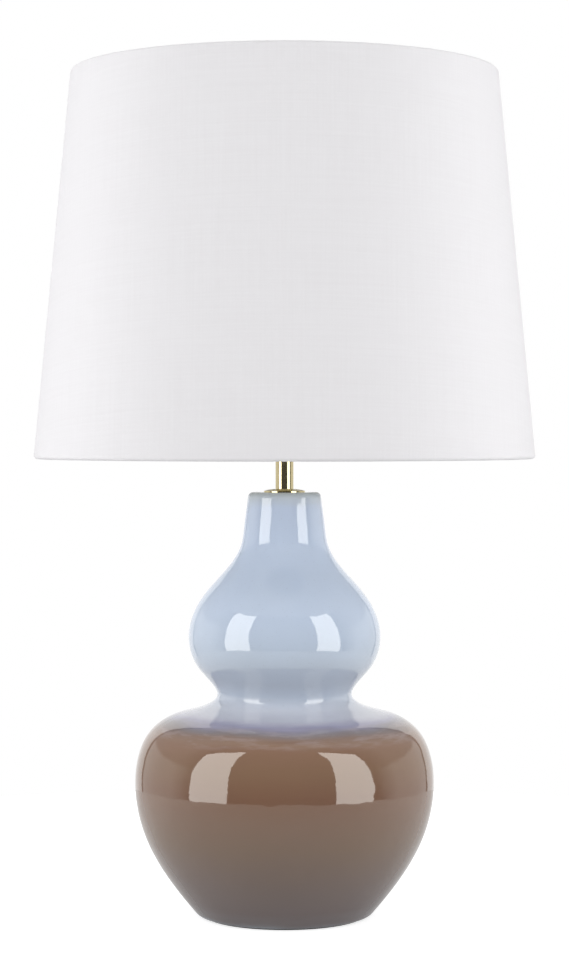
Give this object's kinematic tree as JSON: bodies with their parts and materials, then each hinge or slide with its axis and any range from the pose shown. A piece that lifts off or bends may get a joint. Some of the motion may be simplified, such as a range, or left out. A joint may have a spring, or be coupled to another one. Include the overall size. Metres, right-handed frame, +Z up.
{
  "type": "table lamp",
  "caption": "Table lamp with a glazed double gourd ceramic body on a felt foot, a brass stem, a screw lampholder with bulb and a tapered drum fabric shade.",
  "frame": {"origin": "centre of the bounding box's base, on the lamp's axis at the underside of the felt foot ring", "axes": "+Z up along the stem, -Y the front, +Y the side with the cord hole and the shade's seam"},
  "size_m": [0.35, 0.35, 0.5902],
  "materials": {
    "glaze": "glossy reactive glaze, pale blue over brown",
    "black_rubber": "matt",
    "felt": "felt",
    "steel": "zinc plated",
    "brass": "polished",
    "holder_plastic": "moulded",
    "porcelain": "unglazed",
    "nickel": "nickel plated",
    "bead_glass": "black insulator",
    "cap_metal": "rolled",
    "bulb_plastic": "moulded",
    "opal_plastic": "opal",
    "shade_fabric": "plain weave, off-white",
    "shade_lining": "smooth white backing",
    "white_wire": "white powder coat"
  },
  "bodies": {
    "base": {"ceramic_body": "glaze", "cord_grommet": "black_rubber", "foot_felt": "felt", "threaded_rod": "steel", "base_gasket": "black_rubber", "base_washer": "steel", "lock_washer": "steel", "base_nut": "steel", "neck_bush": "black_rubber", "neck_cap": "brass", "stem_tube": "brass", "holder_cap": "holder_plastic", "holder_grub_screw": "steel", "terminal_screws": "brass", "holder_insulator": "porcelain", "centre_contact": "brass", "screw_shell": "nickel", "holder_sleeve": "holder_plastic", "lower_shade_ring": "holder_plastic"},
    "shade": {"shade_skin": "shade_fabric", "shade_lining": "shade_lining", "shade_bottom_wire": "white_wire", "shade_top_wire": "white_wire", "shade_arms": "white_wire", "shade_fitter_ring": "white_wire"},
    "ring": {"upper_shade_ring": "holder_plastic"},
    "bulb": {"bulb_contact": "nickel", "bulb_glass_bead": "bead_glass", "bulb_cap": "cap_metal", "bulb_housing": "bulb_plastic", "bulb_globe": "opal_plastic"}
  },
  "joints": [
    {"name": "shade_turn", "type": "hinge", "parent": "base", "child": "shade", "pos_m": [0, 0, 0.3581], "axis": [0, 0, 1], "continuous": true},
    {"name": "ring_lift", "type": "slide", "parent": "base", "child": "ring", "axis": [0, 0, 1], "range_m": [0, 0.024]},
    {"name": "bulb_lift", "type": "slide", "parent": "base", "child": "bulb", "axis": [0, 0, 1], "range_m": [0, 0.24]}
  ]
}
